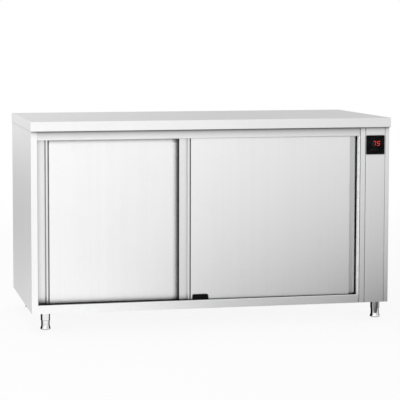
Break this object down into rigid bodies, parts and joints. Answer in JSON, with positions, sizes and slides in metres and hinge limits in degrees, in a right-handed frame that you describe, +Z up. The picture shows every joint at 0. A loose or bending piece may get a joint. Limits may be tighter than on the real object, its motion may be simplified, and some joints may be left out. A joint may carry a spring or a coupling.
{
  "type": "plate warmer cabinet",
  "caption": "Free-standing stainless hot cupboard with two sliding doors on overhead rollers, a fan heater in a side bay and four screw feet.",
  "frame": {"origin": "on the floor, under the centre of the worktop", "axes": "+Z up, the doors face -Y, +X runs to the right towards the control bay"},
  "size_m": [1.5, 0.7, 0.85],
  "materials": {
    "steel": "pale brushed stainless sheet, fine grain",
    "door_steel": "pale brushed stainless sheet with a soft satin sheen",
    "polished_steel": "polished stainless",
    "zinc_steel": "bright zinc plate",
    "insulation": "mineral wool",
    "core_board": "chipboard",
    "black_plastic": "moulded, satin",
    "black_gloss": "gloss black frame",
    "display_glass": "gloss black touch window",
    "black_rubber": "matt",
    "grey_plastic": "moulded",
    "ivory_plastic": "moulded",
    "white_nylon": "smooth nylon",
    "heater_sheath": "dark oxidised sheath",
    "motor_grey": "grey enamel",
    "brass": "plain brass"
  },
  "bodies": {
    "cabinet": {"worktop": "steel", "left_side_panel": "steel", "right_side_panel": "steel", "back_panel": "steel", "top_rail": "steel", "bottom_rail": "steel", "jamb_post": "steel", "underside_pan": "steel", "floor_pan": "steel", "inner_left_wall": "steel", "inner_back_wall": "steel", "chamber_ceiling": "steel", "bay_partition": "steel", "control_cover": "steel", "shelf": "steel", "shelf_bearers": "steel", "door_track": "steel", "heater_plenum": "steel", "fan_guard": "steel", "leg_sockets": "steel", "leg_tubes": "polished_steel", "temperature_probe": "polished_steel", "back_panel_screws": "zinc_steel", "mounting_rail": "zinc_steel", "insulation_slabs": "insulation", "worktop_core": "core_board", "controller_case": "black_plastic", "sill_strip": "black_plastic", "door_guide": "black_plastic", "cable_gland": "black_plastic", "leg_bushes": "black_plastic", "contactor": "black_plastic", "controller_bezel": "black_gloss", "display_window": "display_glass", "jamb_seals": "black_rubber", "terminal_block": "grey_plastic", "safety_thermostat": "ivory_plastic", "heating_element": "heater_sheath", "fan_motor": "motor_grey", "bonding_stud": "brass"},
    "fan": {"fan_wheel": "zinc_steel", "motor_shaft": "polished_steel"},
    "left_door": {"left_door_panel": "door_steel", "left_door_grip": "door_steel", "left_door_liner": "door_steel", "left_door_core": "insulation", "left_door_hangers": "zinc_steel"},
    "right_door": {"right_door_panel": "door_steel", "right_door_grip": "door_steel", "right_door_liner": "door_steel", "right_door_core": "insulation", "right_door_hangers": "zinc_steel"},
    "left_wheel_a": {"left_door_wheel_a": "white_nylon"},
    "left_wheel_b": {"left_door_wheel_b": "white_nylon"},
    "right_wheel_a": {"right_door_wheel_a": "white_nylon"},
    "right_wheel_b": {"right_door_wheel_b": "white_nylon"},
    "foot_front_left": {"foot_front_left": "polished_steel"},
    "foot_front_right": {"foot_front_right": "polished_steel"},
    "foot_back_left": {"foot_back_left": "polished_steel"},
    "foot_back_right": {"foot_back_right": "polished_steel"}
  },
  "joints": [
    {"name": "left_door_slide", "type": "slide", "parent": "cabinet", "child": "left_door", "axis": [1, 0, 0], "range_m": [0, 0.578]},
    {"name": "right_door_slide", "type": "slide", "parent": "cabinet", "child": "right_door", "axis": [-1, 0, 0], "range_m": [0, 0.578]},
    {"name": "left_wheel_a_spin", "type": "hinge", "parent": "left_door", "child": "left_wheel_a", "pos_m": [-0.656, -0.2748, 0.7943], "axis": [0, 1, 0], "range_deg": [0, 3312]},
    {"name": "left_wheel_b_spin", "type": "hinge", "parent": "left_door", "child": "left_wheel_b", "pos_m": [-0.026, -0.2748, 0.7943], "axis": [0, 1, 0], "range_deg": [0, 3312]},
    {"name": "right_wheel_a_spin", "type": "hinge", "parent": "right_door", "child": "right_wheel_a", "pos_m": [-0.078, -0.2998, 0.7943], "axis": [0, 1, 0], "range_deg": [-3312, 0]},
    {"name": "right_wheel_b_spin", "type": "hinge", "parent": "right_door", "child": "right_wheel_b", "pos_m": [0.552, -0.2998, 0.7943], "axis": [0, 1, 0], "range_deg": [-3312, 0]},
    {"name": "fan_spin", "type": "hinge", "parent": "cabinet", "child": "fan", "pos_m": [0.67, 0.12, 0.2678], "axis": [1, 0, 0], "continuous": true},
    {"name": "foot_front_left_screw", "type": "slide", "parent": "cabinet", "child": "foot_front_left", "axis": [0, 0, -1], "range_m": [0, 0.025]},
    {"name": "foot_front_right_screw", "type": "slide", "parent": "cabinet", "child": "foot_front_right", "axis": [0, 0, -1], "range_m": [0, 0.025]},
    {"name": "foot_back_left_screw", "type": "slide", "parent": "cabinet", "child": "foot_back_left", "axis": [0, 0, -1], "range_m": [0, 0.025]},
    {"name": "foot_back_right_screw", "type": "slide", "parent": "cabinet", "child": "foot_back_right", "axis": [0, 0, -1], "range_m": [0, 0.025]}
  ],
  "couplings": [
    {"joint": "left_wheel_a_spin", "follows": "left_door_slide", "rad_per_m": 100},
    {"joint": "left_wheel_b_spin", "follows": "left_door_slide", "rad_per_m": 100},
    {"joint": "right_wheel_a_spin", "follows": "right_door_slide", "rad_per_m": -100},
    {"joint": "right_wheel_b_spin", "follows": "right_door_slide", "rad_per_m": -100}
  ]
}
